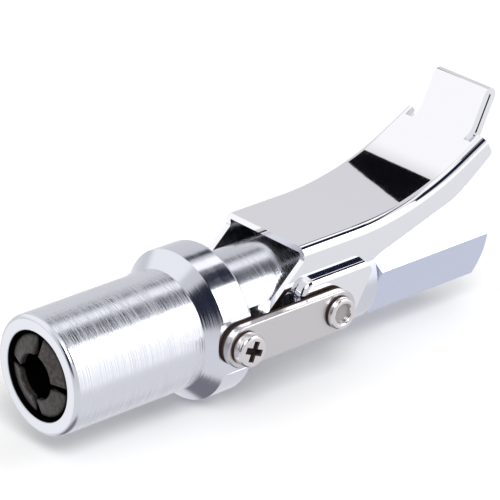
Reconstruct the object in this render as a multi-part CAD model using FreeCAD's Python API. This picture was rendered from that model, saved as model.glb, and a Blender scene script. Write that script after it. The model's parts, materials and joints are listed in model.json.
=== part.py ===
import FreeCAD, Part
import math
import os

# Locking grease coupler with a lever. Millimetres. X runs along the body: the origin is the
# centre of the inlet thread's mouth, +X points out of it, the nozzle is at low X and +Z is up.
V = FreeCAD.Vector
X_AXIS = V(1, 0, 0)

# Rear connector
hex_length = 25.4
hex_across_flats = 16.0
hex_turn = 22.0
hex_chamfer = 0.9
inlet_radius = 4.36
inlet_depth = 9.5
passage_radius = 1.6
spigot_radius = 6.5
spigot_length = 10.0

# Barrel
barrel_length = 34.1
barrel_turning = 0.04
barrel_flat_cut = 0.7
barrel_flat_front_land = 2.4
barrel_flat_rear_land = 7.6
thread_gap = 0.02
chamber_radius = 4.2
chamber_length = 10.0

# Nozzle end
carrier_tube_radius = 6.0
carrier_stud_length = 7.0
carrier_tube_length = 10.0
carrier_flange_gap = 0.7
carrier_flange_width = 2.0
carrier_groove_radius = 5.0
carrier_groove_width = 1.4
carrier_lip_radius = 6.2
carrier_lip_width = 1.2
carrier_bore_radius = 3.1
carrier_bore_length = 7.6
carrier_rear_bore_radius = 4.0
jaw_reach = 15.3
jaw_travel = 0.72
jaw_turn = 49.0
jaw_gap = 1.0
jaw_corner_round = 0.35
jaw_count = 4
jaw_face_radius = 3.8
jaw_face_depth = 2.75
jaw_cone_depth = 0.95
jaw_face_round = 0.5
jaw_hole_radius = 2.6
jaw_chamber_radius = 3.75
jaw_lip = 1.3
jaw_clearance = 0.06
jaw_hook_clearance = 0.15

# Sleeve and its collar
sleeve_step = 0.8
sleeve_wall = 1.4
sleeve_mouth_wall = 2.45
sleeve_throat_wall = 2.8
sleeve_taper_length = 3.8
sleeve_nose_recess = 1.2
jaw_stand_out = 0.4
sleeve_lip_round = 0.9
sleeve_overhang = 1.7
collar_step = 3.4
collar_cone_length = 2.4
collar_length = 5.8
collar_edge_round = 0.7
collar_flat_wall = 2.35
collar_flat_height = 9.6
collar_thread_step = 0.1
collar_shoulder = 1.7
collar_gap = 0.3
shoulder_gap = 0.1
slide_clearance = 0.08

# Links, rivets and screws
link_pitch = 19.8
link_half_width = 3.6
link_thickness = 1.8
link_gap = 0.06
screw_setback = 2.7
rivet_radius = 1.9
rivet_head_radius = 2.75
rivet_head_height = 1.15
rivet_dimple_radius = 1.6
rivet_dimple_depth = 0.75
rivet_rim_round = 0.5
rivet_play = 0.27
inner_head_radius = 2.5
inner_head_height = 0.85
screw_radius = 1.5
screw_head_radius = 2.8
screw_head_height = 2.0
screw_reach = 2.05
pin_gap = 0.06

# Lever
sheet = 1.1
flange_gap = 0.05
bend_radius = 1.5
lever_height = 2.0
lever_front = 4.3
lever_flat_length = 11.3
lever_curve_radius = 52.0
lever_rise = 27.0
lever_slope_length = 5.5
pivot_to_rivet = 8.0
pivot_drop = 2.8
pivot_radius = 1.65
eye_radius = 2.9
stud_tip = 4.9
stud_head_radius = 2.5
stud_head_height = 0.8
ear_offset = 1.75
ear_length = 7.6
ear_top = 5.7
ear_bottom = 3.4
ear_edge_round = 1.0
tab_shoulder = 3.45
tab_length = 8.0
tab_angle = 63.0
tab_bend_radius = 3.0
tab_fold_overlap = 1.9
tab_notch = 1.7
hem_gap = 0.35

# Valve and seal inside
seal_radius = 3.3
seal_length = 2.0
seal_setback = 3.1
seal_hole_radius = 1.25
piston_clearance = 0.05
piston_head_width = 1.5
ring_section = 0.38
ball_radius = 1.7
seat_thickness = 1.6
seat_hole_radius = 1.2
connector_ring_section = 0.5
connector_groove_start = 1.2
connector_groove_width = 1.4

# Springs
spring_wire = 1.1
spring_turns = 4
seal_spring_wire = 0.6
seal_spring_turns = 5
check_spring_wire = 0.4
check_spring_turns = 4
spring_end_gap = 0.05
spring_runs = 14
spring_sides = 6
spring_washer_thickness = 0.8

# Sizes that follow from the ones above
barrel_radius = hex_across_flats / math.sqrt(3) - barrel_turning
barrel_flat = barrel_radius - barrel_flat_cut
sleeve_radius = barrel_radius + sleeve_step
sleeve_bore_radius = sleeve_radius - sleeve_wall
sleeve_mouth_radius = sleeve_radius - sleeve_mouth_wall
sleeve_throat_radius = sleeve_radius - sleeve_throat_wall
carrier_flange_radius = sleeve_bore_radius - carrier_flange_gap
collar_radius = barrel_radius + collar_step
collar_flat = barrel_radius + collar_flat_wall
collar_thread_radius = barrel_radius + collar_thread_step
lever_top = barrel_radius + lever_height

# Stations along X
hex_front_x = -hex_length
barrel_front_x = hex_front_x - barrel_length
carrier_rear_x = barrel_front_x + carrier_stud_length
flange_rear_x = barrel_front_x - carrier_tube_length
flange_front_x = flange_rear_x - carrier_flange_width
lip_rear_x = flange_front_x - carrier_groove_width
lip_front_x = lip_rear_x - carrier_lip_width
jaw_front_x = lip_front_x - jaw_reach
jaw_rear_x = flange_front_x - 0.05
sleeve_front_x = jaw_front_x + jaw_stand_out
lip_start_x = jaw_front_x + jaw_face_depth + jaw_face_radius - jaw_hole_radius
lip_end_x = lip_start_x + jaw_lip
collar_shoulder_rear_x = barrel_front_x - collar_gap
collar_shoulder_front_x = collar_shoulder_rear_x - collar_shoulder
sleeve_rear_x = collar_shoulder_front_x - shoulder_gap
cone_front_x = sleeve_rear_x - sleeve_overhang
cone_rear_x = cone_front_x + collar_cone_length
collar_rear_x = cone_rear_x + collar_length
screw_x = collar_rear_x - screw_setback
rivet_x = screw_x + link_pitch
pivot_x = rivet_x - pivot_to_rivet
ear_end_x = rivet_x + ear_length
pivot_z = -pivot_drop
flange_inner = barrel_flat + flange_gap
flange_outer = flange_inner + sheet
ear_outer = flange_outer + ear_offset
ear_inner = ear_outer - sheet
tab_half_width = flange_outer - tab_shoulder
link_inner = max(collar_flat, ear_outer) + link_gap
link_outer = link_inner + link_thickness
seal_front_x = lip_end_x + seal_setback
piston_front_x = seal_front_x + seal_length
carrier_bore_end_x = lip_front_x + carrier_bore_length
piston_head_x = carrier_bore_end_x + 0.05
piston_rear_x = piston_head_x + piston_head_width
piston_radius = carrier_bore_radius - piston_clearance
piston_ring_x = carrier_bore_end_x - 3.0
carrier_pocket_x = carrier_rear_x + 0.3
spreader_x = lip_front_x - 1.6
spreader_radius = jaw_chamber_radius + 0.15
spigot_front_x = hex_front_x - spigot_length
seat_rear_x = spigot_front_x - thread_gap
seat_front_x = seat_rear_x - seat_thickness
chamber_front_x = spigot_front_x - chamber_length


def turned(points):
    """A solid of revolution about X from its half outline, given as (x, radius) points."""
    corners = [V(x, 0, r) for x, r in points]
    face = Part.Face(Part.makePolygon(corners + corners[:1]))
    return face.revolve(V(0, 0, 0), X_AXIS, 360)


def rod(x0, x1, radius):
    return Part.makeCylinder(radius, x1 - x0, V(x0, 0, 0), X_AXIS)


def block(x0, x1, y0, y1, z0, z1):
    return Part.makeBox(x1 - x0, y1 - y0, z1 - z0, V(x0, y0, z0))


def cross_rod(x, z, radius, near, far, side):
    """A cylinder along Y from near to far, on the side given as +1 or -1."""
    return Part.makeCylinder(radius, far - near, V(x, side * near, z), V(0, side, 0))


def rounded_wire(corners, y=0.0):
    """A closed wire in the XZ plane at y, from (x, z, radius) corners with tangent arcs."""
    edges = []
    count = len(corners)
    ends = []
    for i, (x, z, r) in enumerate(corners):
        here = V(x, y, z)
        before = V(corners[i - 1][0], y, corners[i - 1][1]) - here
        after = V(corners[(i + 1) % count][0], y, corners[(i + 1) % count][1]) - here
        before.normalize()
        after.normalize()
        if r <= 0:
            ends.append((here, None, here))
            continue
        half = before.getAngle(after) / 2
        reach = r / math.tan(half)
        middle = before + after
        middle.normalize()
        top = here + middle * (r / math.sin(half) - r)
        ends.append((here + before * reach, top, here + after * reach))
    for i, (start, top, end) in enumerate(ends):
        if top is not None:
            edges.append(Part.Arc(start, top, end).toShape())
        following = ends[(i + 1) % count][0]
        if (following - end).Length > 1e-6:
            edges.append(Part.LineSegment(end, following).toShape())
    return Part.Wire(edges)


def plate(corners, y0, y1):
    """A flat plate between y0 and y1 with the outline given by rounded_wire's corners."""
    return Part.Face(rounded_wire(corners, y0)).extrude(V(0, y1 - y0, 0))


def side_plate(corners, near, far, side):
    return plate(corners, side * near, side * far)


def ring(x, major, section):
    return Part.makeTorus(major, section, V(x, 0, 0), X_AXIS)


def coil_spring(x0, x1, mean_radius, wire, turns):
    """A compression spring of round wire between x0 and x1, swept through short straight runs."""
    rise = (x1 - x0 - wire) / (turns * spring_runs)
    sides = spring_sides
    half = wire / 2
    rings = []
    for i in range(turns * spring_runs + 1):
        turn = 2 * math.pi * i / spring_runs
        ring_points = []
        for k in range(sides):
            around = 2 * math.pi * (k + 0.5) / sides
            radius = mean_radius + half * math.cos(around)
            x = x0 + half + rise * i + half * math.sin(around)
            ring_points.append(V(x, radius * math.cos(turn), radius * math.sin(turn)))
        rings.append(ring_points)
    faces = []
    for low, high in zip(rings, rings[1:]):
        for k in range(sides):
            a, b = low[k], low[(k + 1) % sides]
            c, d = high[(k + 1) % sides], high[k]
            faces.append(Part.Face(Part.makePolygon([a, b, c, a])))
            faces.append(Part.Face(Part.makePolygon([a, c, d, a])))
    for cap in (rings[0], rings[-1]):
        faces.append(Part.Face(Part.makePolygon(cap + cap[:1])))
    shell = Part.makeShell(faces)
    shell.sewShape()
    spring = Part.Solid(shell)
    if spring.Volume < 0:
        spring.reverse()
    return spring


def hexagon(x0, x1):
    """The hexagonal bar of the connector, with turned chamfers at both ends."""
    corner = hex_across_flats / math.sqrt(3)
    points = []
    for i in range(6):
        angle = math.radians(180 + hex_turn + 30 + 60 * i)
        points.append(V(x0, corner * math.cos(angle), corner * math.sin(angle)))
    bar = Part.Face(Part.makePolygon(points + points[:1])).extrude(V(x1 - x0, 0, 0))
    edge = hex_across_flats / 2 - 0.1
    rise = hex_chamfer
    run = hex_chamfer / math.tan(math.radians(60))
    blank = turned([
        (x0, 0), (x0, edge), (x0 + run, edge + rise), (x0 + 2 * run, edge + 2 * rise),
        (x1 - 2 * run, edge + 2 * rise), (x1 - run, edge + rise), (x1, edge), (x1, 0),
    ])
    return bar.common(blank)


def hex_connector():
    body = hexagon(hex_front_x, 0)
    body = body.fuse(rod(spigot_front_x, hex_front_x, spigot_radius - thread_gap))
    groove_bottom = spigot_radius - 2 * connector_ring_section - 0.1
    groove_end = hex_front_x - connector_groove_start
    groove = rod(groove_end - connector_groove_width, groove_end, spigot_radius + 1)
    groove = groove.cut(rod(spigot_front_x, hex_front_x, groove_bottom))
    body = body.cut(groove)
    body = body.cut(rod(-inlet_depth, 0, inlet_radius))
    body = body.cut(turned([
        (-inlet_depth, 0), (-inlet_depth, inlet_radius),
        (-inlet_depth - 1.8, passage_radius), (-inlet_depth - 1.8, 0),
    ]))
    return body.cut(rod(spigot_front_x - 1, 0, passage_radius))


def connector_o_ring():
    major = spigot_radius - connector_ring_section - 0.05
    x = hex_front_x - connector_groove_start - connector_groove_width / 2
    return ring(x, major, connector_ring_section)


def barrel():
    edge = 0.4
    body = turned([
        (barrel_front_x, 0), (barrel_front_x, barrel_radius - edge),
        (barrel_front_x + edge, barrel_radius), (hex_front_x - edge, barrel_radius),
        (hex_front_x, barrel_radius - edge), (hex_front_x, 0),
    ])
    flat_x0 = barrel_front_x + barrel_flat_front_land
    flat_x1 = hex_front_x - barrel_flat_rear_land
    for side in (-1, 1):
        outside = barrel_radius + 1
        y0, y1 = sorted((side * barrel_flat, side * outside))
        body = body.cut(block(flat_x0, flat_x1, y0, y1, -outside, outside))
        near = stud_tip - 0.1
        body = body.cut(cross_rod(pivot_x, pivot_z, pivot_radius + thread_gap, near, outside, side))
    body = body.cut(rod(barrel_front_x, carrier_pocket_x, carrier_tube_radius))
    body = body.cut(rod(spigot_front_x - 0.1, hex_front_x, spigot_radius))
    body = body.cut(rod(chamber_front_x, spigot_front_x, chamber_radius))
    return body.cut(rod(barrel_front_x, hex_front_x, passage_radius))


def jaw_carrier():
    """Tube screwed into the barrel; its front lip and groove hold the jaws' hooks."""
    tube = carrier_tube_radius - thread_gap
    body = turned([
        (lip_front_x, 0), (lip_front_x, carrier_lip_radius - 0.3),
        (lip_front_x + 0.3, carrier_lip_radius), (lip_rear_x, carrier_lip_radius),
        (lip_rear_x, carrier_groove_radius), (flange_front_x, carrier_groove_radius),
        (flange_front_x, carrier_flange_radius), (flange_rear_x, carrier_flange_radius),
        (flange_rear_x, tube), (carrier_rear_x, tube), (carrier_rear_x, 0),
    ])
    body = body.cut(rod(lip_front_x, carrier_bore_end_x, carrier_bore_radius))
    return body.cut(rod(carrier_bore_end_x, carrier_rear_x, carrier_rear_bore_radius))


def jaw(index):
    """One of the jaws that the sleeve's taper squeezes round the grease fitting."""
    x0, x1 = jaw_front_x, jaw_rear_x
    widest = sleeve_bore_radius - jaw_travel - jaw_clearance
    slope = (sleeve_bore_radius - sleeve_throat_radius) / sleeve_taper_length
    throat_x = sleeve_front_x + sleeve_nose_recess
    widest_x = throat_x + (widest + jaw_clearance - sleeve_throat_radius) / slope
    hook_x = lip_rear_x + 0.05
    over_lip = carrier_lip_radius + jaw_hook_clearance
    chamber_x = lip_end_x + jaw_chamber_radius - jaw_hole_radius
    rim_x = x0 + jaw_cone_depth
    tip_x = rim_x + jaw_face_round
    tip = sleeve_throat_radius - jaw_clearance - slope * (throat_x - tip_x)
    body = turned([
        (x0, jaw_face_radius + 0.2), (rim_x, tip - jaw_face_round),
        (rim_x + jaw_face_round * 0.3, tip - jaw_face_round * 0.3), (tip_x, tip),
        (widest_x, widest),
        (x1, widest), (x1, carrier_groove_radius + jaw_hook_clearance),
        (hook_x, carrier_groove_radius + jaw_hook_clearance), (hook_x, over_lip),
        (lip_front_x - 0.05, over_lip), (lip_front_x - 0.05, jaw_chamber_radius),
        (chamber_x, jaw_chamber_radius), (lip_end_x, jaw_hole_radius),
        (lip_start_x, jaw_hole_radius), (x0 + jaw_face_depth, jaw_face_radius),
        (x0 + 0.2, jaw_face_radius),
    ])
    body = body.cut(ring(spreader_x, spreader_radius, ring_section + 0.05))
    half = jaw_gap / 2
    outside = 2 * sleeve_radius
    for side in (-1, 1):
        cutter = block(x0 - 1, x1 + 1, -outside, outside, -outside, half)
        cutter.rotate(V(0, 0, 0), X_AXIS, 90 + side * (90 - 180.0 / jaw_count))
        body = body.cut(cutter)
    corners = [
        e for e in body.Edges
        if abs(e.BoundBox.XMin - x0) < 1e-3 and abs(e.BoundBox.XMax - rim_x) < 1e-3
    ]
    body = body.makeFillet(jaw_corner_round, corners)
    body.rotate(V(0, 0, 0), X_AXIS, jaw_turn + 360.0 / jaw_count * index)
    return body


def jaw_spreader_ring():
    return ring(spreader_x, spreader_radius, ring_section)


def locking_sleeve():
    throat_x = sleeve_front_x + sleeve_nose_recess
    taper_end = throat_x + sleeve_taper_length
    spigot = collar_thread_radius - thread_gap
    body = turned([
        (sleeve_front_x, sleeve_mouth_radius), (sleeve_front_x, sleeve_radius),
        (cone_front_x, sleeve_radius), (cone_front_x, spigot), (sleeve_rear_x, spigot),
        (sleeve_rear_x, sleeve_bore_radius), (taper_end, sleeve_bore_radius),
        (throat_x, sleeve_throat_radius), (throat_x - 0.3, sleeve_throat_radius),
    ])
    edges = [
        e for e in body.Edges
        if abs(e.BoundBox.XMin - sleeve_front_x) < 1e-3 and abs(e.BoundBox.XMax - sleeve_front_x) < 1e-3
    ]
    outer = [e for e in edges if e.BoundBox.ZMax > sleeve_radius - 0.1]
    inner = [e for e in edges if e.BoundBox.ZMax < sleeve_radius - 0.1]
    body = body.makeFillet(sleeve_lip_round, [e for e in outer if e.Length > 1])
    inner = [
        e for e in body.Edges
        if abs(e.BoundBox.XMax - sleeve_front_x) < 1e-3 and e.BoundBox.ZMax < sleeve_mouth_radius + 0.1
        and abs(e.BoundBox.XMin - sleeve_front_x) < 1e-3
    ]
    return body.makeFillet(0.4, inner)


def link_collar():
    body = turned([
        (cone_front_x, collar_thread_radius), (cone_front_x, sleeve_radius),
        (cone_rear_x, collar_radius), (collar_rear_x, collar_radius),
        (collar_rear_x, barrel_radius + slide_clearance),
        (collar_shoulder_rear_x, barrel_radius + slide_clearance),
        (collar_shoulder_rear_x, carrier_tube_radius + slide_clearance),
        (collar_shoulder_front_x, carrier_tube_radius + slide_clearance),
        (collar_shoulder_front_x, collar_thread_radius),
    ])
    rim = [
        e for e in body.Edges
        if abs(e.BoundBox.XMin - collar_rear_x) < 1e-3 and e.BoundBox.ZMax > collar_radius - 0.1
        and abs(e.BoundBox.XMax - collar_rear_x) < 1e-3
    ]
    body = body.makeFillet(collar_edge_round, rim)
    half = collar_flat_height / 2
    for side in (-1, 1):
        y0, y1 = sorted((side * collar_flat, side * (collar_radius + 1)))
        body = body.cut(block(cone_front_x - 1, collar_rear_x + 1, y0, y1, -half, half))
        body = body.cut(cross_rod(screw_x, 0, screw_radius + thread_gap, barrel_radius - 1, collar_radius + 1, side))
    return body


def spring_washer():
    x1 = collar_shoulder_front_x - 0.02
    outer = rod(x1 - spring_washer_thickness, x1, sleeve_bore_radius - slide_clearance)
    return outer.cut(rod(flange_rear_x, barrel_front_x, carrier_tube_radius + slide_clearance))


def sleeve_spring():
    x1 = collar_shoulder_front_x - spring_washer_thickness - spring_end_gap
    mean = (carrier_tube_radius + sleeve_bore_radius) / 2
    return coil_spring(flange_rear_x + spring_end_gap, x1, mean, spring_wire, spring_turns)


def link(side):
    """One strap between the collar's screw and the lever's rivet."""
    h = link_half_width
    corners = [
        (screw_x - h, -h, h * 0.999), (rivet_x + h, -h, h * 0.999),
        (rivet_x + h, h, h * 0.999), (screw_x - h, h, h * 0.999),
    ]
    body = side_plate(corners, link_inner, link_outer, side)
    body = body.cut(cross_rod(screw_x, 0, screw_radius + pin_gap, 0, link_outer + 1, side))
    body = body.cut(cross_rod(rivet_x, 0, rivet_radius + rivet_play, 0, link_outer + 1, side))
    edges = [e for e in body.Edges if abs(abs(e.BoundBox.YMin) - link_outer) < 1e-3
             and abs(abs(e.BoundBox.YMax) - link_outer) < 1e-3 and e.Length > 2 * h]
    return body.makeFillet(0.3, edges)


def link_screw(side):
    """Pan-head screw that holds the link on the collar, with a cross recess."""
    tip = collar_flat - screw_reach
    head_y = link_outer + 0.03
    body = cross_rod(screw_x, 0, screw_radius, tip, head_y, side)
    head = cross_rod(screw_x, 0, screw_head_radius, head_y, head_y + screw_head_height, side)
    far = side * (head_y + screw_head_height)
    edges = [e for e in head.Edges if abs(e.BoundBox.YMin - far) < 1e-3 and abs(e.BoundBox.YMax - far) < 1e-3]
    head = head.makeFillet(0.6, edges)
    arm, width, depth = 1.75, 1.1, 1.2
    for turn in (24, 114):
        y0, y1 = sorted((far - side * depth, far + side))
        slot = block(-arm, arm, y0, y1, -width / 2, width / 2)
        slot.rotate(V(0, 0, 0), V(0, 1, 0), turn)
        slot.translate(V(screw_x, 0, 0))
        head = head.cut(slot)
    return body.fuse(head)


def rivet(side):
    """Tubular rivet that joins the lever's ear to the link."""
    head_y = link_outer + 0.05
    far = head_y + rivet_head_height
    inner_y = ear_inner - 0.02
    shank = cross_rod(rivet_x, 0, rivet_radius, inner_y - inner_head_height, head_y, side)
    inner = cross_rod(rivet_x, 0, inner_head_radius, inner_y - inner_head_height, inner_y, side)
    head = cross_rod(rivet_x, 0, rivet_head_radius, head_y, far, side)
    head = head.cut(cross_rod(rivet_x, 0, rivet_dimple_radius, far - rivet_dimple_depth, far + 1, side))
    rims = [e for e in head.Edges
            if abs(e.BoundBox.YMin - side * far) < 1e-3 and abs(e.BoundBox.YMax - side * far) < 1e-3
            and e.Length > 1]
    head = head.makeFillet(rivet_rim_round, rims)
    return shank.fuse([inner, head]).removeSplitter()


def pivot_stud(side):
    """Shoulder screw in the barrel on which the lever's leg turns."""
    near = stud_tip
    head_y = flange_outer + 0.1
    body = cross_rod(pivot_x, pivot_z, pivot_radius, near, head_y, side)
    head = cross_rod(pivot_x, pivot_z, stud_head_radius, head_y, head_y + stud_head_height, side)
    return body.fuse(head).removeSplitter()


def lever_top_points(drop):
    """Front, bend and end of the lever's top line, moved down into the sheet by drop."""
    rise = math.radians(lever_rise)
    front_x = rivet_x - lever_front
    tangent = lever_curve_radius * math.tan(rise / 2)
    bend_x = front_x + lever_flat_length + tangent
    run = tangent + lever_slope_length
    end_x = bend_x + run * math.cos(rise)
    end_z = lever_top + run * math.sin(rise)
    bend = (bend_x + drop * math.tan(rise / 2), lever_top - drop)
    end = (end_x + drop * math.sin(rise), end_z - drop * math.cos(rise))
    return (front_x, lever_top - drop), bend, end


def lever_top_z(x):
    """Height of the lever's top line at x."""
    front, bend, end = lever_top_points(0)
    rise = math.radians(lever_rise)
    start_x = front[0] + lever_flat_length
    stop_x = start_x + lever_curve_radius * math.sin(rise)
    if x < start_x:
        return lever_top
    if x < stop_x:
        drop = math.sqrt(lever_curve_radius ** 2 - (x - start_x) ** 2)
        return lever_top + lever_curve_radius - drop
    return bend[1] + (x - bend[0]) * math.tan(rise)


def lever_outline():
    """Side view of the lever's flange, as corners for rounded_wire."""
    front, bend, end = lever_top_points(0)
    low = pivot_z - eye_radius
    return [
        (front[0], front[1], 0),
        (bend[0], bend[1], lever_curve_radius),
        (end[0], end[1], 0),
        (end[0] + 1.9, end[1] - 3.2, 1.0),
        (rivet_x + 29.2, lever_top - 0.75, 12.0),
        (rivet_x + 12.2, 5.35, 2.0),
        (rivet_x + 10.7, 4.6, 0.5),
        (pivot_x + 3.0, 5.05, 1.0),
        (pivot_x + 0.5, 4.75, 1.0),
        (pivot_x - 1.0, 3.8, 1.0),
        (pivot_x - 2.0, 2.0, 1.0),
        (pivot_x - 1.0, pivot_z + eye_radius, 0.6),
        (pivot_x + eye_radius, pivot_z + eye_radius, eye_radius * 0.99),
        (pivot_x + eye_radius, low, eye_radius * 0.99),
        (pivot_x - eye_radius, low, eye_radius * 0.99),
        (pivot_x - eye_radius, pivot_z + 1.6, 1.5),
        (front[0] - 8.6, 1.4, 1.4),
        (front[0], lever_top - 2.3, 0.8),
    ]


def channel():
    """The lever's U-shaped channel: top and two flanges, with rounded bends."""
    outer = plate(lever_outline(), -flange_outer, flange_outer)
    front, bend, end = lever_top_points(0)
    long_edges = []
    for e in outer.Edges:
        box = e.BoundBox
        if abs(abs(box.YMin) - flange_outer) > 1e-3 or abs(box.YMax - box.YMin) > 1e-3:
            continue
        middle = e.valueAt((e.FirstParameter + e.LastParameter) / 2)
        if abs(middle.z - lever_top_z(middle.x)) < 0.02 and middle.x < end[0]:
            long_edges.append(e)
    outer = outer.makeFillet(bend_radius, long_edges)
    front, bend, end = lever_top_points(sheet)
    rise = math.radians(lever_rise)
    beyond = 30
    inner = plate([
        (front[0] - beyond, front[1], 0),
        (bend[0], bend[1], lever_curve_radius + sheet),
        (end[0] + beyond * math.cos(rise), end[1] + beyond * math.sin(rise), 0),
        (end[0] + beyond, -beyond, 0),
        (front[0] - beyond, -beyond, 0),
    ], -flange_inner, flange_inner)
    return outer.cut(inner)


def tab():
    """The lever's thumb tab: bent up steeply and folded back on itself."""
    front, bend, end = lever_top_points(0)
    rise = math.radians(lever_rise)
    steep = math.radians(tab_angle)
    up = (math.cos(steep), math.sin(steep))
    back = (math.sin(steep), -math.cos(steep))
    along = (math.cos(rise), math.sin(rise))
    root = (end[0] - 2.6 * along[0], end[1] - 2.6 * along[1])
    top = (end[0] + up[0] * tab_length, end[1] + up[1] * tab_length)
    thick = 2 * sheet + hem_gap

    def at(base, a, b):
        return (base[0] + up[0] * a + back[0] * b, base[1] + up[1] * a + back[1] * b)

    knee = -sheet * math.tan((steep - rise) / 2)
    under = (root[0] + sheet * math.sin(rise), root[1] - sheet * math.cos(rise))
    bottom = at(end, -tab_fold_overlap, 0)
    corners = [
        (root[0], root[1], 0),
        (end[0], end[1], tab_bend_radius),
        (*at(top, 0, 0), thick * 0.499),
        (*at(top, 0, thick), thick * 0.499),
        (*at(bottom, 0, thick), 0.2),
        (*at(bottom, 0, sheet + hem_gap), 0.2),
        (*at(top, -sheet, sheet + hem_gap), 0),
        (*at(top, -sheet, sheet), 0),
        (*at(end, knee, sheet), tab_bend_radius + sheet),
        (under[0], under[1], 0),
    ]
    return plate(corners, -tab_half_width, tab_half_width)


def ear(side):
    """The lever's ear: the flange pressed outwards so that the rivet's inner head has room."""
    inside = sheet
    base = [
        (pivot_x + 1.5, ear_top + 0.5, 3.0), (ear_end_x + 11.0, ear_top + 0.5, 0.8),
        (ear_end_x + 11.0, -lever_top, 0.8), (pivot_x + 3.6, -lever_top, 0.8),
        (pivot_x + 3.6, -0.8, 0.8), (pivot_x + 1.5, 1.8, 0.8),
    ]
    top = [
        (pivot_x + 2.1, ear_top, 2.6), (ear_end_x + 10.0, ear_top, 0.8),
        (ear_end_x + 10.0, 1 - lever_top, 0.8), (pivot_x + 4.3, 1 - lever_top, 0.8),
        (pivot_x + 4.3, -0.9, 0.8), (pivot_x + 2.1, 1.7, 0.8),
    ]

    def shrunk(corners, shift):
        return [
            (x + (sheet if x < ear_end_x else -1), z - (shift if z > 3 else 0), r * 0.7)
            for x, z, r in corners
        ]

    outer = Part.makeLoft(
        [rounded_wire(base, side * flange_outer), rounded_wire(top, side * ear_outer)], True, True)
    rim = [e for e in outer.Edges
           if abs(e.BoundBox.YMin - side * ear_outer) < 1e-3 and abs(e.BoundBox.YMax - side * ear_outer) < 1e-3
           and e.BoundBox.XMin < ear_end_x + 4 and e.BoundBox.ZMax > -1.5]
    outer = outer.makeFillet(ear_edge_round, rim)
    outer = outer.fuse(side_plate(base, flange_inner, flange_outer, side))
    inner = Part.makeLoft(
        [rounded_wire(shrunk(base, inside), side * (flange_inner - 0.01)),
         rounded_wire(shrunk(top, inside), side * ear_inner)], True, True)
    trim = side_plate([
        (screw_x, lever_top, 0), (ear_end_x, lever_top, 0), (ear_end_x, ear_top + 0.2, 0.3),
        (ear_end_x + 1.4, ear_top - 1.6, 0.5), (ear_end_x - 2.9, -ear_bottom, 1.2), (screw_x, -ear_bottom, 0),
    ], flange_inner - 1, ear_outer + 1, side)
    return outer.common(trim), inner.common(trim)


def lever():
    body = channel()
    front, bend, end = lever_top_points(0)
    for side in (-1, 1):
        y0, y1 = sorted((side * tab_half_width, side * (tab_half_width + tab_notch)))
        body = body.cut(block(end[0] - tab_notch, end[0] + tab_length, y0, y1, lever_top + 1, end[1] + 5))
    body = body.fuse(tab())
    for side in (-1, 1):
        boss, hollow = ear(side)
        body = body.fuse(boss).cut(hollow)
        body = body.cut(cross_rod(rivet_x, 0, rivet_radius + thread_gap, flange_inner, ear_outer + 1, side))
        hole = cross_rod(pivot_x, pivot_z, pivot_radius + pin_gap, flange_inner - 1, flange_outer + 1, side)
        body = body.cut(hole)
    return body.removeSplitter()


def seal_piston():
    """Sprung tube that presses the seal on the fitting; its wide rear end is the stop."""
    body = rod(piston_front_x, piston_head_x, piston_radius)
    body = body.fuse(rod(piston_head_x, piston_rear_x, carrier_rear_bore_radius - piston_clearance))
    half = ring_section + 0.1
    groove = rod(piston_ring_x - half, piston_ring_x + half, piston_radius + 1)
    groove = groove.cut(rod(piston_front_x, piston_rear_x, piston_radius - 2 * ring_section - 0.05))
    return body.cut(groove).cut(rod(piston_front_x, piston_rear_x, seal_hole_radius))


def piston_o_ring():
    return ring(piston_ring_x, piston_radius - ring_section, ring_section)


def nozzle_seal():
    return turned([
        (seal_front_x + 0.4, seal_hole_radius), (seal_front_x, seal_hole_radius + 0.4),
        (seal_front_x, seal_radius - 0.3), (seal_front_x + 0.3, seal_radius),
        (piston_front_x, seal_radius), (piston_front_x, seal_hole_radius),
    ])


def seal_spring():
    mean = carrier_rear_bore_radius - 0.2 - seal_spring_wire / 2
    x0, x1 = piston_rear_x + spring_end_gap, carrier_pocket_x - spring_end_gap
    return coil_spring(x0, x1, mean, seal_spring_wire, seal_spring_turns)


def check_seat():
    body = rod(seat_front_x, seat_rear_x, chamber_radius - thread_gap)
    body = body.cut(rod(seat_front_x - 1, seat_rear_x + 1, seat_hole_radius))
    depth = 0.5
    return body.cut(turned([
        (seat_front_x, 0), (seat_front_x, seat_hole_radius + depth),
        (seat_front_x + depth, seat_hole_radius), (seat_front_x + depth, 0),
    ]))


def ball_centre():
    """The ball's centre line place when it rests on the seat's cone."""
    contact = seat_hole_radius + 0.25
    return seat_front_x + 0.25 - math.sqrt(ball_radius ** 2 - contact ** 2) - 0.12


def check_ball():
    return Part.makeSphere(ball_radius, V(ball_centre(), 0, 0))


def check_spring():
    x1 = ball_centre() - ball_radius * 0.75
    mean = chamber_radius / 2
    return coil_spring(chamber_front_x + spring_end_gap, x1, mean, check_spring_wire, check_spring_turns)


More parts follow.
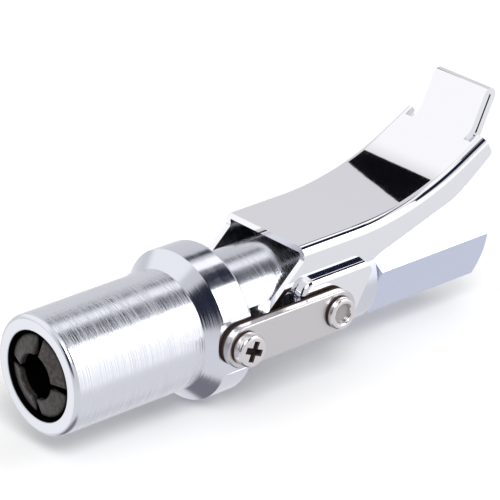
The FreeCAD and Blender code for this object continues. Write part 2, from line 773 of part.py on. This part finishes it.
def main():
    shapes = {
        "barrel": barrel(),
        "hex_connector": hex_connector(),
        "connector_o_ring": connector_o_ring(),
        "jaw_carrier": jaw_carrier(),
        "jaw_spreader_ring": jaw_spreader_ring(),
        "locking_sleeve": locking_sleeve(),
        "link_collar": link_collar(),
        "spring_washer": spring_washer(),
        "sleeve_spring": sleeve_spring(),
        "lever": lever(),
        "seal_piston": seal_piston(),
        "piston_o_ring": piston_o_ring(),
        "nozzle_seal": nozzle_seal(),
        "seal_spring": seal_spring(),
        "check_seat": check_seat(),
        "check_ball": check_ball(),
        "check_spring": check_spring(),
    }
    for index in range(jaw_count):
        shapes["jaw_%d" % (index + 1)] = jaw(index)
    for name, side in (("near", -1), ("far", 1)):
        shapes["link_" + name] = link(side)
        shapes["link_screw_" + name] = link_screw(side)
        shapes["rivet_" + name] = rivet(side)
        shapes["pivot_stud_" + name] = pivot_stud(side)
    os.makedirs("parts", exist_ok=True)
    for name, shape in shapes.items():
        solids = shape.Solids
        print("%-18s solids %d valid %s volume %.2f" % (name, len(solids), shape.isValid(), shape.Volume))
        shape.exportStep("parts/%s.step" % name)


main()
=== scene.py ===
import json
import math

import bpy
from mathutils import Matrix, Vector

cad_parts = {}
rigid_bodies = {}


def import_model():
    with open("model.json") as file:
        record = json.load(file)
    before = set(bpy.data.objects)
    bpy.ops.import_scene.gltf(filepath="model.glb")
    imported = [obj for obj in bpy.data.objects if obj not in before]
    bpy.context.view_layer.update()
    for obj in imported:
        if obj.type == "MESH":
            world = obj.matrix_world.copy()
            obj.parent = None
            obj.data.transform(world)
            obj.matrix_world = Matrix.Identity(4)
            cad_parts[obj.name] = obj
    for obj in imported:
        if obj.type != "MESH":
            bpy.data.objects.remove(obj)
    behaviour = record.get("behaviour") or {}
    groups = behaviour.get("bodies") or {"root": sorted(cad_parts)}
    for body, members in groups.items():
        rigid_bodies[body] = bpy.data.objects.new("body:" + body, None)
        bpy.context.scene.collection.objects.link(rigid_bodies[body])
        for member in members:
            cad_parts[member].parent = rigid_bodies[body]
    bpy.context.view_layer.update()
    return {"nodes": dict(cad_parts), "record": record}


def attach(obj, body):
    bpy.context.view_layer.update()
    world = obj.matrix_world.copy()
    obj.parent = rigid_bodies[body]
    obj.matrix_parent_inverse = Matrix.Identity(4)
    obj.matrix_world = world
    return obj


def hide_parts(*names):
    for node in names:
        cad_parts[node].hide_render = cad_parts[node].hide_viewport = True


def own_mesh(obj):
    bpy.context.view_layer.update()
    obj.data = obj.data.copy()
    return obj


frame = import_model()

scene = bpy.context.scene

# Camera: place and angle of the photograph, in the row frame
AZIMUTH = math.radians(-40.74)
ELEVATION = math.radians(25.10)
ROLL = math.radians(0.17)
TARGET = Vector((-0.04545, 0.0, 0.00847))
DISTANCE = 0.5647
LENS_MM = 252.0
SENSOR_MM = 36.0
CLIP_NEAR = 0.01
CLIP_FAR = 20.0


def rgb(r, g, b):
    """A linear colour from 8-bit sRGB values."""
    def linear(c):
        c = c / 255.0
        return c / 12.92 if c <= 0.04045 else ((c + 0.055) / 1.055) ** 2.4
    return (linear(r), linear(g), linear(b), 1.0)


# Shader nodes

def feed(tree, socket, value):
    """Give an input another node's output or a plain value."""
    if isinstance(value, bpy.types.NodeSocket):
        tree.links.new(value, socket)
    else:
        socket.default_value = value


def math_node(tree, kind, *values):
    node = tree.nodes.new("ShaderNodeMath")
    node.operation = kind
    for socket, value in zip(node.inputs, values):
        feed(tree, socket, value)
    return node.outputs[0]


def ramp(tree, value, low, high, at_low=0.0, at_high=1.0, kind="LINEAR"):
    """Go from at_low to at_high as value goes from low to high; high may be the smaller one."""
    node = tree.nodes.new("ShaderNodeMapRange")
    node.interpolation_type = kind
    node.inputs["From Min"].default_value = low
    node.inputs["From Max"].default_value = high
    node.inputs["To Min"].default_value = at_low
    node.inputs["To Max"].default_value = at_high
    tree.links.new(value, node.inputs["Value"])
    return node.outputs["Result"]


def mixed(tree, share, under, over):
    """A colour with a share of another one over it."""
    node = tree.nodes.new("ShaderNodeMix")
    node.data_type = "RGBA"
    feed(tree, node.inputs["Factor"], share)
    feed(tree, node.inputs["A"], under)
    feed(tree, node.inputs["B"], over)
    return node.outputs["Result"]


def coordinates(tree):
    """Place in the row frame, which stays with the piece as it moves."""
    return tree.nodes.new("ShaderNodeTexCoord").outputs["Object"]


def position(tree):
    """X, Y and Z in the row frame, one output each."""
    split = tree.nodes.new("ShaderNodeSeparateXYZ")
    tree.links.new(coordinates(tree), split.inputs[0])
    return split.outputs


def off_axis(tree, first, second, middle=0.0):
    """Distance from an axis, across which first and second are measured, first from middle."""
    squares = []
    for offset in (math_node(tree, "SUBTRACT", first, middle), second):
        squares.append(math_node(tree, "POWER", math_node(tree, "ABSOLUTE", offset), 2.0))
    return math_node(tree, "SQRT", math_node(tree, "ADD", *squares))


def noise(tree, scale, detail=3.0):
    """Noise with a scale per metre for each axis."""
    mapping = tree.nodes.new("ShaderNodeMapping")
    mapping.inputs["Scale"].default_value = scale
    tree.links.new(coordinates(tree), mapping.inputs["Vector"])
    texture = tree.nodes.new("ShaderNodeTexNoise")
    texture.inputs["Scale"].default_value = 1.0
    texture.inputs["Detail"].default_value = detail
    tree.links.new(mapping.outputs["Vector"], texture.inputs["Vector"])
    return texture.outputs["Fac"]


# Materials

BUMP_DISTANCE = 0.0002
# Detail of the turning lines, and how fast the polish changes along one of them
TURNING_DETAIL = 2.0
POLISH_SCALE = 60.0
# Values between which most of the noise lies
NOISE_LOW = 0.3
NOISE_HIGH = 0.7


def shader_of(material):
    return material.node_tree.nodes["Principled BSDF"]


def present(material, name):
    """What an input has so far: another node's output or a plain value."""
    socket = shader_of(material).inputs[name]
    return socket.links[0].from_socket if socket.links else socket.default_value


def set_input(material, name, value):
    feed(material.node_tree, shader_of(material).inputs[name], value)


def new_material(name, color, metallic, roughness):
    material = bpy.data.materials.new(name)
    material.use_nodes = True
    set_input(material, "Base Color", color)
    set_input(material, "Metallic", metallic)
    set_input(material, "Roughness", roughness)
    return material


def add_bump(material, height, strength):
    tree = material.node_tree
    bump = tree.nodes.new("ShaderNodeBump")
    bump.inputs["Strength"].default_value = strength
    bump.inputs["Distance"].default_value = BUMP_DISTANCE
    tree.links.new(height, bump.inputs["Height"])
    set_input(material, "Normal", bump.outputs["Normal"])


def turned_steel(name, color, roughness, lines, strength, smoothest=0.85, roughest=1.2):
    """Metal with fine turning lines round X, some smoother and some rougher than the mean."""
    material = new_material(name, color, metallic=1.0, roughness=roughness)
    tree = material.node_tree
    add_bump(material, noise(tree, (lines, 1.0, 1.0), TURNING_DETAIL), strength)
    polish = ramp(tree, noise(tree, (lines, POLISH_SCALE, POLISH_SCALE)), NOISE_LOW, NOISE_HIGH,
                  roughness * smoothest, roughness * roughest)
    set_input(material, "Roughness", polish)
    return material


def grained_steel(name, color, roughness, grain, strength):
    """Metal with an even fine grain."""
    material = new_material(name, color, metallic=1.0, roughness=roughness)
    add_bump(material, noise(material.node_tree, (grain, grain, grain)), strength)
    return material


# Turned and grained metals give colour, roughness, lines or grains per metre and strength,
# the others colour, metallic and roughness
materials = {
    "sleeve_steel": turned_steel("sleeve_steel", rgb(226, 228, 235), 0.22, 4200.0, 0.30,
                                 smoothest=0.6, roughest=1.5),
    "collar_steel": turned_steel("collar_steel", rgb(222, 224, 232), 0.13, 5000.0, 0.10),
    "hex_steel": grained_steel("hex_steel", rgb(212, 218, 236), 0.30, 2600.0, 0.25),
    "barrel_steel": turned_steel("barrel_steel", rgb(218, 220, 228), 0.24, 2500.0, 0.12),
    "lever_chrome": grained_steel("lever_chrome", rgb(240, 240, 244), 0.03, 120.0, 0.02),
    "link_steel": grained_steel("link_steel", rgb(210, 207, 208), 0.30, 3200.0, 0.18),
    "fastener_chrome": grained_steel("fastener_chrome", rgb(226, 222, 223), 0.16, 900.0, 0.06),
    "inner_steel": new_material("inner_steel", rgb(150, 150, 155), 1.0, 0.35),
    "spring_steel": new_material("spring_steel", rgb(130, 130, 136), 1.0, 0.30),
    "seal_rubber": new_material("seal_rubber", rgb(9, 9, 9), 0.0, 0.60),
    "jaw_black": new_material("jaw_black", rgb(50, 45, 44), 0.25, 0.42),
}

# Paler wear in the black of the jaws
JAW_WEAR = rgb(74, 68, 68)
JAW_WEAR_SCALE = (1500.0, 1500.0, 1500.0)
JAW_WEAR_STARTS = 0.4
JAW_WEAR_FULL = 0.65
JAW_GRAIN_SCALE = (1400.0, 1400.0, 1400.0)
JAW_DETAIL = 4.0
JAW_BUMP = 0.35

# Painted shade: each pair, in metres, says where a painted dark place begins and where it is fully
# dark.
# A reach is a distance from the origin along X, a height one from the middle plane along Y.
# Colours of the painted shade: black in hollows, brown at seats and edges
SHADE_BLACK = rgb(4, 4, 4)
SHADE_BROWN = rgb(58, 47, 44)
JAW_REACH = (0.0886, 0.0883)
JAW_RADIUS = (0.0066, 0.0069)
MOUTH_RADIUS = (0.00762, 0.00752)
HEAD_SEAT_BELOW = (0.0131, 0.0133)
HEAD_SEAT_ABOVE = (0.01400, 0.01375)
SCREW_X = -0.0578
RECESS_RADIUS = (0.0019, 0.0018)
RECESS_HEIGHT = (0.01525, 0.01515)
LINK_HEIGHT = (0.0124, 0.0121)


def paint_shade(material, mask, shade):
    """Paint shade: a dark colour without shine where mask is 1."""
    tree = material.node_tree
    set_input(material, "Base Color", mixed(tree, mask, present(material, "Base Color"), shade))
    clear = math_node(tree, "SUBTRACT", 1.0, mask)
    for name in ("Metallic", "Specular IOR Level"):
        set_input(material, name, math_node(tree, "MULTIPLY", clear, present(material, name)))


def wear_and_shade_jaws(material):
    """Worn black on the front faces, and painted shade behind them and outside their rim."""
    tree = material.node_tree
    worn = ramp(tree, noise(tree, JAW_WEAR_SCALE, JAW_DETAIL), JAW_WEAR_STARTS, JAW_WEAR_FULL)
    set_input(material, "Base Color", mixed(tree, worn, present(material, "Base Color"), JAW_WEAR))
    add_bump(material, noise(tree, JAW_GRAIN_SCALE, JAW_DETAIL), JAW_BUMP)
    where = position(tree)
    reach = math_node(tree, "ABSOLUTE", where["X"])
    # painted shade in the bore behind the front faces
    paint_shade(material, ramp(tree, reach, *JAW_REACH), SHADE_BLACK)
    radius = off_axis(tree, where["Y"], where["Z"])
    # painted shade on the outer bevel outside the rim
    paint_shade(material, ramp(tree, radius, *JAW_RADIUS), SHADE_BLACK)


def shade_sleeve_mouth(material):
    """Painted shade inside the mouth."""
    tree = material.node_tree
    where = position(tree)
    radius = off_axis(tree, where["Y"], where["Z"])
    # painted shade: the inside of the mouth is darkened
    paint_shade(material, ramp(tree, radius, *MOUTH_RADIUS), SHADE_BLACK)


def shade_fasteners(material):
    """Painted shade at the seat of each head and in the recesses of the screws."""
    tree = material.node_tree
    where = position(tree)
    height = math_node(tree, "ABSOLUTE", where["Y"])
    seat = math_node(tree, "MULTIPLY", ramp(tree, height, *HEAD_SEAT_ABOVE),
                     ramp(tree, height, *HEAD_SEAT_BELOW))
    # painted shade where each head meets the link
    paint_shade(material, seat, SHADE_BROWN)
    near_axis = ramp(tree, off_axis(tree, where["X"], where["Z"], SCREW_X), *RECESS_RADIUS)
    sunk = ramp(tree, height, *RECESS_HEIGHT)
    # painted shade inside the cross recess
    paint_shade(material, math_node(tree, "MULTIPLY", near_axis, sunk), SHADE_BROWN)


def shade_links(material):
    """Painted shade on the back and on the inner part of the edges."""
    tree = material.node_tree
    height = math_node(tree, "ABSOLUTE", position(tree)["Y"])
    # painted shade on the inner half of the link
    paint_shade(material, ramp(tree, height, *LINK_HEIGHT), SHADE_BROWN)


# Painted shade on the jaws, the sleeve's mouth, the fasteners and the links
wear_and_shade_jaws(materials["jaw_black"])
shade_sleeve_mouth(materials["sleeve_steel"])
shade_fasteners(materials["fastener_chrome"])
shade_links(materials["link_steel"])

slot_of = {p["node"]: p["material_slot"] for p in frame["record"]["subparts"]}
for node, obj in frame["nodes"].items():
    obj.data.materials.clear()
    obj.data.materials.append(materials[slot_of[node]])

# Each spring that a joint loads gets its own copy of the mesh, carried by the joint's parent, in
# place of the CAD part
for joint in frame["record"]["behaviour"]["joints"]:
    for entry in joint.get("deforming_nodes", []):
        cad = frame["nodes"][entry["node"]]
        coil = bpy.data.objects.new(entry["node"] + "_coil", cad.data.copy())
        scene.collection.objects.link(coil)
        coil.matrix_world = cad.matrix_world
        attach(coil, joint["parent"])
        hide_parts(entry["node"])
        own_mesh(coil)


def matt_sheet(name, points, color, roughness):
    """A flat sheet without shine."""
    material = new_material(name, color, metallic=0.0, roughness=roughness)
    set_input(material, "Specular IOR Level", 0.0)
    data = bpy.data.meshes.new(name)
    data.from_pydata(points, [], [tuple(range(len(points)))])
    data.materials.append(material)
    obj = bpy.data.objects.new(name, data)
    scene.collection.objects.link(obj)
    return obj


# Floor
FLOOR_Z = -0.0130
FLOOR_REACH = 3.0
FLOOR_COLOR = (0.93, 0.93, 0.93, 1.0)
FLOOR_ROUGHNESS = 0.9
FLOOR_CORNERS = [
    (-FLOOR_REACH, -FLOOR_REACH, FLOOR_Z),
    (FLOOR_REACH, -FLOOR_REACH, FLOOR_Z),
    (FLOOR_REACH, FLOOR_REACH, FLOOR_Z),
    (-FLOOR_REACH, FLOOR_REACH, FLOOR_Z),
]

floor = matt_sheet("floor", FLOOR_CORNERS, FLOOR_COLOR, FLOOR_ROUGHNESS)
floor.visible_glossy = False

# Black card over the lever, which its polished top mirrors as a band
BAND_COLOR = (0.004, 0.004, 0.006, 1.0)
BAND_ROUGHNESS = 1.0
BAND_CORNERS = [
    (0.0420, 0.1770, 0.1907),
    (0.0433, 0.1520, 0.1944),
    (0.0836, 0.1550, 0.1682),
    (0.0610, 0.1785, 0.1800),
]

band_card = matt_sheet("band_card", BAND_CORNERS, BAND_COLOR, BAND_ROUGHNESS)
band_card.visible_camera = False
band_card.visible_diffuse = False
band_card.visible_shadow = False

# Studio that the metal mirrors: a pale room with dark and bright cards.
# Azimuth 0 is +Y and 90 is +X, elevation 90 is straight up, all in degrees.
ROOM = (0.74, 0.74, 0.76, 1.0)
ROOM_LOW = (0.82, 0.82, 0.85, 1.0)
ROOM_BELOW = (0.22, 0.22, 0.25, 1.0)
# Elevations over which the room's bottom turns into its low part, and that into the room
BOTTOM_EDGE = (-68.0, -58.0)
LOW_EDGE = (-22.0, 2.0)

# Plain white round the object: its strength as seen, and as light on surfaces without shine
SURROUNDINGS = (1.0, 1.0, 1.0, 1.0)
SEEN_STRENGTH = 1.0
LIGHT_STRENGTH = 0.80

WHITE = (1.08, 1.08, 1.08, 1.0)
SIDE_WHITE = (1.22, 1.22, 1.23, 1.0)
BRIGHT = (1.35, 1.35, 1.37, 1.0)
DARK = (0.010, 0.014, 0.034, 1.0)

# Cards as azimuth, elevation, half width, half height, softness and colour, the last on top
CARDS = [
    # For the top of the lever and the front slopes of the turned parts
    (-25.0, 40.0, 42.0, 32.0, 6.0, WHITE),
    # For the front faces
    (-42.0, -25.0, 24.0, 18.0, 6.0, WHITE),
    # For the flanks on the camera's side
    (140.0, -3.0, 15.0, 16.0, 7.0, SIDE_WHITE),
    (140.0, 18.0, 14.0, 20.0, 4.0, BRIGHT),
    # For light and dark streaks along the top of the turned parts
    (70.5, 54.0, 10.5, 9.0, 3.0, BRIGHT),
    (49.5, 47.0, 4.5, 11.0, 2.0, DARK),
    (110.5, 57.0, 15.5, 18.0, 3.0, DARK),
    # For the cone of the collar
    (-107.5, 26.0, 16.0, 27.0, 4.0, DARK),
    # For the bends of the lever
    (0.0, 90.0, 180.0, 12.0, 3.0, WHITE),
    (150.0, 72.0, 32.0, 16.0, 3.0, WHITE),
    (165.0, 43.0, 15.0, 17.0, 3.0, DARK),
    (-175.0, 54.0, 6.0, 14.0, 3.0, DARK),
]

# Dark card along the arc that the lever's bend mirrors: the arc's elevation at its start
# and its fall with azimuth, then the card's half height and softness, and its azimuth,
# half width and softness
ARC_TOP = 52.0
ARC_START = 88.0
ARC_FALL = 0.00063
ARC_POWER = 2.76
ARC_HALF = 4.5
ARC_SOFT = 1.0
ARC_SPAN = (108.0, 28.0, 2.0)


def build_world():
    world = bpy.data.worlds.new("room")
    scene.world = world
    world.use_nodes = True
    tree = world.node_tree
    tree.nodes.clear()
    direction = tree.nodes.new("ShaderNodeSeparateXYZ")
    tree.links.new(tree.nodes.new("ShaderNodeTexCoord").outputs["Generated"], direction.inputs[0])
    x, y, z = direction.outputs
    azimuth = math_node(tree, "DEGREES", math_node(tree, "ARCTAN2", x, y))
    elevation = math_node(tree, "DEGREES", math_node(tree, "ARCSINE", z))

    def window(value, middle, half, soft):
        off = math_node(tree, "ABSOLUTE", math_node(tree, "SUBTRACT", value, middle))
        return ramp(tree, off, half + soft, half - soft, kind="SMOOTHSTEP")

    def with_card(under, across, along, color):
        return mixed(tree, math_node(tree, "MULTIPLY", across, along), under, color)

    studio = mixed(tree, ramp(tree, elevation, *BOTTOM_EDGE, kind="SMOOTHSTEP"), ROOM_BELOW, ROOM_LOW)
    studio = mixed(tree, ramp(tree, elevation, *LOW_EDGE, kind="SMOOTHSTEP"), studio, ROOM)
    for card_azimuth, card_elevation, wide, high, soft, color in CARDS:
        studio = with_card(studio, window(azimuth, card_azimuth, wide, soft),
                           window(elevation, card_elevation, high, soft), color)
    past_start = math_node(tree, "MAXIMUM", math_node(tree, "SUBTRACT", azimuth, ARC_START), 0.0)
    fall = math_node(tree, "MULTIPLY", ARC_FALL, math_node(tree, "POWER", past_start, ARC_POWER))
    arc = math_node(tree, "SUBTRACT", ARC_TOP, fall)
    studio = with_card(studio, window(azimuth, *ARC_SPAN),
                       window(elevation, arc, ARC_HALF, ARC_SOFT), DARK)

    def background(color, strength=1.0):
        node = tree.nodes.new("ShaderNodeBackground")
        feed(tree, node.inputs["Color"], color)
        node.inputs["Strength"].default_value = strength
        return node.outputs["Background"]

    def shader_mix(share, under, over):
        node = tree.nodes.new("ShaderNodeMixShader")
        for socket, source in zip(node.inputs, (share, under, over)):
            tree.links.new(source, socket)
        return node.outputs["Shader"]

    ray = tree.nodes.new("ShaderNodeLightPath").outputs
    mirrored = math_node(tree, "MAXIMUM", ray["Is Glossy Ray"], ray["Is Transmission Ray"])
    room = shader_mix(mirrored, background(SURROUNDINGS, LIGHT_STRENGTH), background(studio))
    seen = shader_mix(ray["Is Camera Ray"], room, background(SURROUNDINGS, SEEN_STRENGTH))
    tree.links.new(seen, tree.nodes.new("ShaderNodeOutputWorld").inputs["Surface"])


build_world()

# Lamps as name, place and watts
LAMP_SIZE = 0.5
LAMPS = [
    ("key_light", (-0.35, -0.55, 0.75), 4.0),
    ("fill_light", (0.5, -0.5, 0.45), 1.6),
]

for lamp_name, place, watts in LAMPS:
    lamp_data = bpy.data.lights.new(lamp_name, "AREA")
    lamp_data.shape = "DISK"
    lamp_data.size = LAMP_SIZE
    lamp_data.energy = watts
    lamp = bpy.data.objects.new(lamp_name, lamp_data)
    lamp.location = place
    lamp.rotation_euler = (TARGET - Vector(place)).to_track_quat("-Z", "Y").to_euler()
    scene.collection.objects.link(lamp)

# Camera
level = math.cos(ELEVATION)
forward = Vector((-math.sin(AZIMUTH) * level, math.cos(AZIMUTH) * level, -math.sin(ELEVATION)))
camera_data = bpy.data.cameras.new("camera")
camera_data.lens = LENS_MM
camera_data.sensor_width = SENSOR_MM
camera_data.clip_start = CLIP_NEAR
camera_data.clip_end = CLIP_FAR
camera = bpy.data.objects.new("camera", camera_data)
camera.location = TARGET - forward * DISTANCE
turn = forward.to_track_quat("-Z", "Y").to_matrix() @ Matrix.Rotation(ROLL, 3, "Z")
camera.rotation_euler = turn.to_euler()
scene.collection.objects.link(camera)
scene.camera = camera

bpy.context.scene.view_settings.view_transform = "Standard"
